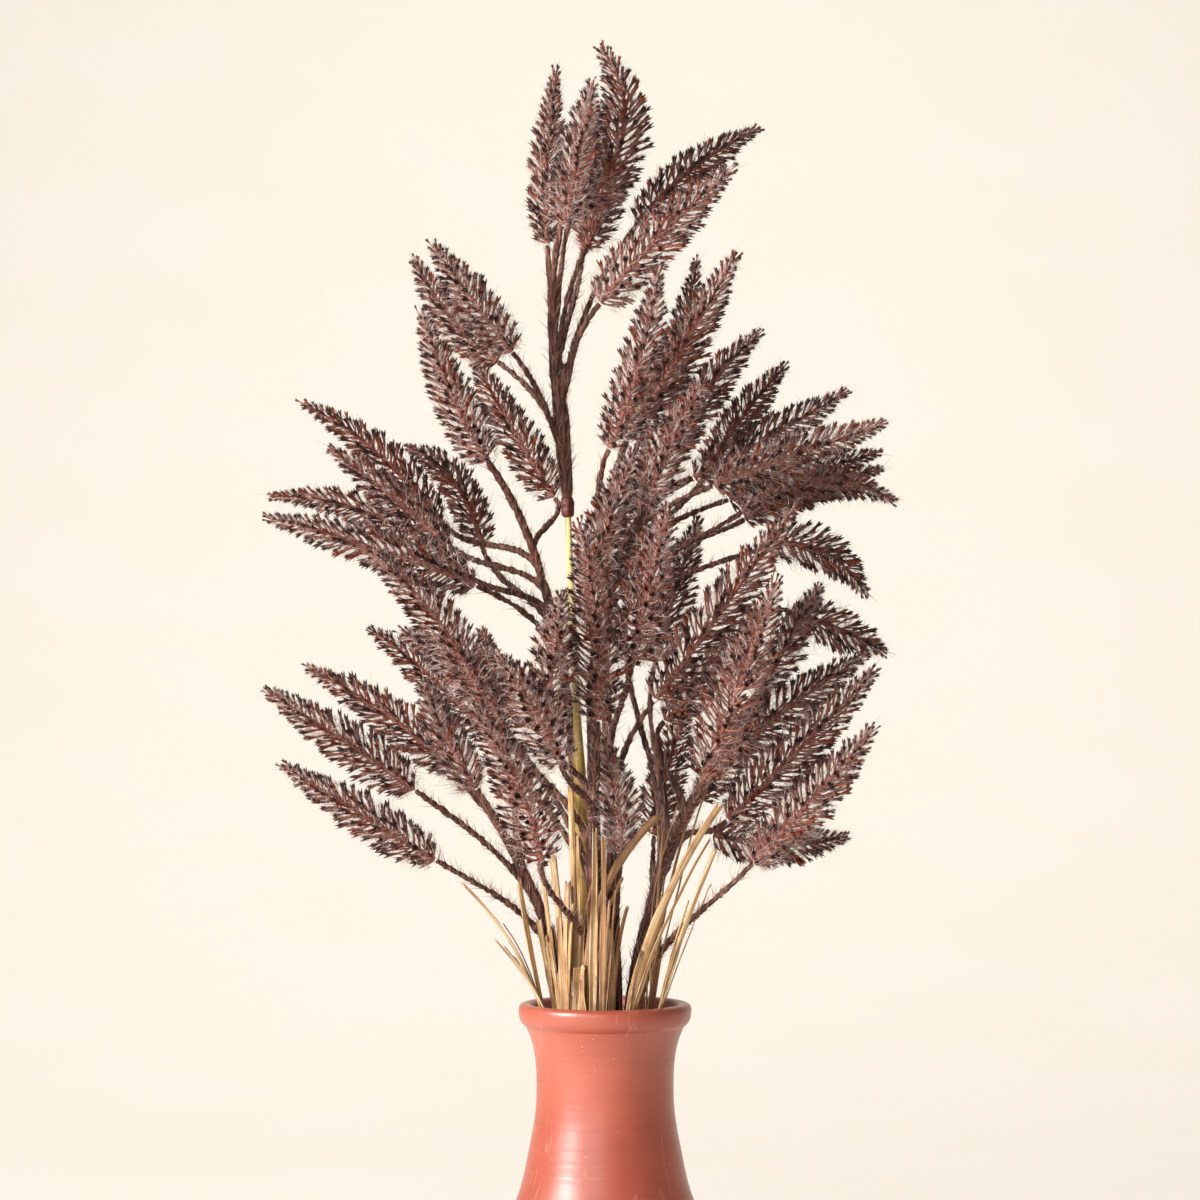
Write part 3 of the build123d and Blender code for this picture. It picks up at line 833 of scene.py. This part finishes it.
def add_strip(builder, line, across, facing, width, own, random):
    """One dished, twisted, creased strip along a line, ragged at its cut end."""
    rows, columns = len(line), STRIP_COLUMNS
    steps = np.linspace(0, 1, rows)
    spots = np.linspace(-1, 1, columns)
    tangent = unit(np.gradient(line, axis=0))
    dish = random.uniform(*DISH) * random.choice((-1, 1))
    twist = random.uniform(-TWIST, TWIST)
    narrowing = random.uniform(*END_WIDTH)
    phase = random.uniform(0, 6)
    grid = np.empty((rows, columns, 3))
    for i, step in enumerate(steps):
        angle = twist * step
        lean = across[i] * math.cos(angle) + facing[i] * math.sin(angle)
        out = -across[i] * math.sin(angle) + facing[i] * math.cos(angle)
        taper = 1 - (1 - narrowing) * step**2
        waver = 1 + WAVER * math.sin(WAVER_RATE * step + phase)
        waver += RIPPLE * math.sin(RIPPLE_RATE * step + phase)
        half = width / 2 * taper * waver
        sway = SWAY * math.sin(SWAY_RATE * step + phase)
        for j, spot in enumerate(spots):
            rise = dish * width * (spot**2 - 0.33) + CREASE * math.sin(CREASE_RATE * spot + phase)
            grid[i, j] = line[i] + lean * (half * spot + sway * step) + out * rise
    # neighbouring columns stop at different lengths
    for j in range(columns):
        grid[-1, j] -= tangent[-1] * random.uniform(0, RAGGED[0]) * MM * (1 + width / (4 * MM))
        grid[-2, j] -= tangent[-2] * random.uniform(0, RAGGED[1]) * MM
    tints = np.empty((rows, columns, 3))
    tints[..., 0] = steps[:, None]
    tints[..., 1] = (spots[None] + 1) / 2
    tints[..., 2] = own
    maps = np.empty((rows, columns, 2))
    column = builder.count // STRIP_MAP_POINTS % STRIP_MAP_COLUMNS
    maps[..., 0] = (spots[None] + 1) / 2 * STRIP_MAP_WIDTH + STRIP_MAP_PITCH * column
    maps[..., 1] = steps[:, None]
    faces = []
    for i in range(rows - 1):
        for j in range(columns - 1):
            a = i * columns + j
            faces.append((a, a + 1, a + columns + 1, a + columns))
    values = (grid.reshape(-1, 3), tints.reshape(-1, 3), maps.reshape(-1, 2))
    builder.add(*values, (np.array(faces),), 0)


def make_blade(node, seed):
    """One papery blade along its CAD strip, with the narrower strips split from it."""
    random = np.random.default_rng(seed)
    points, edges = islands(node)[0]
    up = np.array([0, 0, 1.0])
    low, high = points[:, 2].min(), points[:, 2].max()
    heights = np.linspace(low + 0.6 * MM, high - 0.8 * MM, BLADE_CUTS)
    centres = []
    across = []
    widths = []
    for height in heights:
        ring = cut(points, edges, height, up)
        middle = (ring.min(axis=0) + ring.max(axis=0)) / 2
        direction = np.linalg.svd(ring - middle, full_matrices=False)[2][0]
        if across and direction @ across[-1] < 0:
            direction = -direction
        centres.append(middle)
        across.append(direction)
        widths.append(np.ptp(ring @ direction))
    centres = np.array(centres)
    across = unit(np.array(across))
    width = float(np.median(widths[3:-3]))
    steps = np.linspace(0, 1, BLADE_ROWS)
    line = smooth_line(centres, np.linspace(0, 1, len(centres)), len(steps))
    across = unit(at(across, steps))
    tangent = unit(np.gradient(line, axis=0))
    across = unit(across - tangent * (across * tangent).sum(axis=1)[:, None])
    facing = np.cross(across, tangent)
    above = np.clip((line[:, 2] - RIM) / SPREAD_HEIGHT, 0, 1.6)[:, None]
    builder = Builder()
    own = random.uniform(0, 1)
    add_strip(builder, line, across, facing, width * BLADE_WIDENING, own, random)
    # dry leaves split, so narrower strips stand beside the blade and leave it as they rise
    for _ in range(SPLITS):
        sideways = random.choice((-1, 1)) * random.uniform(*SPLIT_ASIDE) * MM
        outward = random.uniform(*SPLIT_OUT) * MM
        moved = line + (across * sideways + facing * outward) * (0.35 + above)
        share = random.uniform(*SPLIT_SHARE)
        stop = max(int(len(line) * share), SHORTEST_SPLIT)
        tone = min(max(own + random.uniform(-SPLIT_TONE, SPLIT_TONE), 0), 1)
        narrow = width * random.uniform(*SPLIT_WIDTH)
        add_strip(builder, moved[:stop], across[:stop], facing[:stop], narrow, tone, random)
    piece = builder.finish(node.replace("husk_blade", "husk_leaf"), (HUSK,))
    # these map places carry the fibres: in proportion to the blade, and its own part of them
    layer = piece.data.uv_layers["OFBake"]
    layer.name = "leaf"
    places = np.empty(len(piece.data.loops) * 2)
    layer.data.foreach_get("uv", places)
    places = places.reshape(-1, 2) * (width * 10, np.ptp(heights) * 1.2) + random.uniform(0, 9, 2)
    layer.data.foreach_set("uv", places.ravel())
    thickness = piece.modifiers.new("thickness", "SOLIDIFY")
    thickness.thickness = HUSK_THICKNESS
    thickness.offset = 0.0
    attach(piece, BUNCH)
    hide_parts(node)


# ---------------------------------------------------------------- turned pieces
RIDGE_HEIGHT = 0.03  # as a share of the radius
REED_RADII = (4.9 * MM, 2.1 * MM, 1.7 * MM)  # in its sheath, above it, and at its top
SHEATH_END = 0.180  # down from the top
BARE_FROM = 0.115
REED_JOINTS = (0.17, 0.36, 0.54, 0.70, 0.845)
JOINT_SWELL, JOINT_LENGTH = 0.13, 0.004
GROOVE_DEPTH, GROOVE_LENGTH, GROOVE_OFFSET = 0.05, 0.006, 0.012
BUD_LEAN = 0.25 * MM
# (share of the bud's length, radius in mm)
BUD_SHAPE = (
    (0, 2.0),
    (0.03, 2.8),
    (0.12, 3.3),
    (0.3, 3.6),
    (0.5, 3.45),
    (0.7, 3.6),
    (0.88, 3.2),
    (0.97, 2.9),
    (1.0, 2.2),
)


def lathe(name, foot, top, profile, sides, material, wobble, ridges, seed):
    """A turned piece between two points. profile holds (share of length, radius).

    wobble is how far it is from round, ridges how many run along it.
    """
    random = np.random.default_rng(seed)
    axis = unit(np.array(top) - np.array(foot))
    length = np.linalg.norm(np.array(top) - np.array(foot))
    side = unit(np.cross(axis, (0, 1.0, 0)))
    other = np.cross(axis, side)
    phases = random.uniform(0, 6, 4)
    points = []
    for share, radius in profile:
        for k in range(sides):
            turn = 2 * np.pi * k / sides
            swell = 1 + wobble * math.sin(3 * turn + phases[0] + 9 * share)
            swell += wobble * 0.6 * math.sin(5 * turn + phases[1] - 5 * share)
            swell += RIDGE_HEIGHT * math.sin(ridges * turn + phases[2])
            centre = np.array(foot) + axis * length * share
            reach = radius * swell
            points.append(centre + (side * math.cos(turn) + other * math.sin(turn)) * reach)
    faces = tube_faces(len(profile), sides)
    faces.append(tuple(range(sides))[::-1])
    faces.append(tuple((len(profile) - 1) * sides + k for k in range(sides)))
    mesh = bpy.data.meshes.new(name)
    mesh.from_pydata(points, [], faces)
    mesh.materials.append(material)
    shade_smooth(mesh)
    mesh.update()
    return link_object(name, mesh)


def make_culm():
    """The reed: sheathed and thick low down, with joints, thin and straw above."""
    low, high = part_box("centre_culm")
    full, thin, end = REED_RADII
    foot = (high[0] - full, 0.0, low[2])
    top = (low[0] + end, 0.0, high[2])
    height = high[2] - low[2]
    sheath, bare = 1 - SHEATH_END / height, 1 - BARE_FROM / height
    profile = []
    for share in np.linspace(0, 1, 150):
        radius = float(np.interp(share, [0, sheath, bare, 1], [full, full, thin, end]))
        for joint in REED_JOINTS:
            above = share - joint
            radius *= 1 + JOINT_SWELL * math.exp(-((above / JOINT_LENGTH) ** 2))
            above -= GROOVE_OFFSET
            radius *= 1 - GROOVE_DEPTH * math.exp(-((above / GROOVE_LENGTH) ** 2))
        profile.append((share, radius))
    piece = lathe("reed_culm", foot, top, profile, 28, REED, 0.02, 9, 5)
    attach(piece, CROWN)
    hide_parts("centre_culm")


def make_bud():
    """The shiny bud on the reed's top, which the crown stands in."""
    low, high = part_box("culm_socket")
    middle = (low[0] + high[0]) / 2
    foot = (middle + BUD_LEAN, 0.0, low[2])
    top = (middle - BUD_LEAN, 0.0, high[2])
    places = [share for share, radius in BUD_SHAPE]
    radii = [radius * MM for share, radius in BUD_SHAPE]
    profile = [(s, float(np.interp(s, places, radii))) for s in np.linspace(0, 1, 28)]
    piece = lathe("bud_socket", foot, top, profile, 24, BUD, 0.03, 7, 9)
    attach(piece, CROWN)
    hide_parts("culm_socket")


# ---------------------------------------------------------------- the object
seed = 100
for sprig in SPRIGS + ("crown",):
    body = CROWN if sprig == "crown" else BUNCH
    for number, (points, edges) in enumerate(islands(f"{sprig}_spikes"), 1):
        seed += 1
        make_spike(f"{sprig}_spike_{number}", points, edges, body, f"{sprig}_spikes", seed)
    seed += 1
    make_stems(f"{sprig}_stalk", f"{sprig}_stems", body, seed)
for node in sorted(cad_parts):
    if node.startswith("husk_blade"):
        seed += 1
        make_blade(node, seed)
make_culm()
make_bud()
for node, material in (("vase_body", CLAY), ("bunch_tie", CORD)):
    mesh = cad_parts[node].data
    mesh.materials.clear()
    mesh.materials.append(material)


# ---------------------------------------------------------------- stage
BACKDROP_REACH = 8.0
BEND_START = 1.5
BEND_RADIUS = 4.5
BEND_STEPS = 32
WORLD_COLOUR = (1.0, 0.97, 0.92, 1)
WORLD_STRENGTH = 0.22
SENSOR_WIDTH = 36.0
LENS = 124.5
CAMERA_PLACE = (-2.7 * MM, -2222 * MM, 495.6 * MM)
# name, place, what it shines at, size, power, colour
LIGHTING = (
    ("key", (-1.5, -0.95, 0.98), (0, 0, 0.42), 0.5, 48, (1.0, 0.98, 0.96)),
    ("front", (-0.7, -2.6, 1.0), (0, 0, 0.5), 1.2, 15, (1.0, 0.97, 0.95)),
    ("wall", (0.0, 1.6, 4.0), (0.0, 5.0, 1.2), 3.5, 146, (1.0, 0.985, 0.96)),
)


def make_backdrop():
    """A floor that curves up into a wall behind the vase."""
    material = Nodes("backdrop", 0.95)
    grain = material.noise(3, (1, 1, 1), 2)
    material.colour(material.ramp(grain, [(0.3, "F6F0E5"), (0.7, "F8F2E8")]))
    outline = [(-BACKDROP_REACH, 0.0), (BEND_START, 0.0)]
    for step in range(1, BEND_STEPS + 1):
        turn = math.pi / 2 * step / BEND_STEPS
        forward, rise = BEND_RADIUS * math.sin(turn), BEND_RADIUS * math.cos(turn)
        outline.append((BEND_START + forward, BEND_RADIUS - rise))
    points = [(x, y, z) for y, z in outline for x in (-BACKDROP_REACH, BACKDROP_REACH)]
    faces = [(2 * i, 2 * i + 1, 2 * i + 3, 2 * i + 2) for i in range(len(outline) - 1)]
    mesh = bpy.data.meshes.new("backdrop")
    mesh.from_pydata(points, [], faces)
    mesh.materials.append(material.material)
    shade_smooth(mesh)
    backdrop = link_object("backdrop", mesh)


def add_light(name, place, target, size, power, colour):
    """A square area light in metres and watts."""
    lamp = bpy.data.lights.new(name, "AREA")
    lamp.size = size
    lamp.energy = power
    lamp.color = colour
    holder = link_object(name, lamp)
    holder.location = place
    aim = Vector(target) - Vector(place)
    holder.rotation_euler = aim.to_track_quat("-Z", "Y").to_euler()


make_backdrop()
for lamp_values in LIGHTING:
    add_light(*lamp_values)

world = bpy.data.worlds.new("studio")
world.use_nodes = True
background = world.node_tree.nodes["Background"]
background.inputs["Color"].default_value = WORLD_COLOUR
background.inputs["Strength"].default_value = WORLD_STRENGTH
bpy.context.scene.world = world
bpy.context.scene.view_settings.view_transform = "Standard"

camera_data = bpy.data.cameras.new("camera")
camera_data.sensor_width = SENSOR_WIDTH
camera_data.lens = LENS
camera = link_object("camera", camera_data)
camera.location = CAMERA_PLACE
camera.rotation_euler = (math.pi / 2, 0, 0)
bpy.context.scene.camera = camera
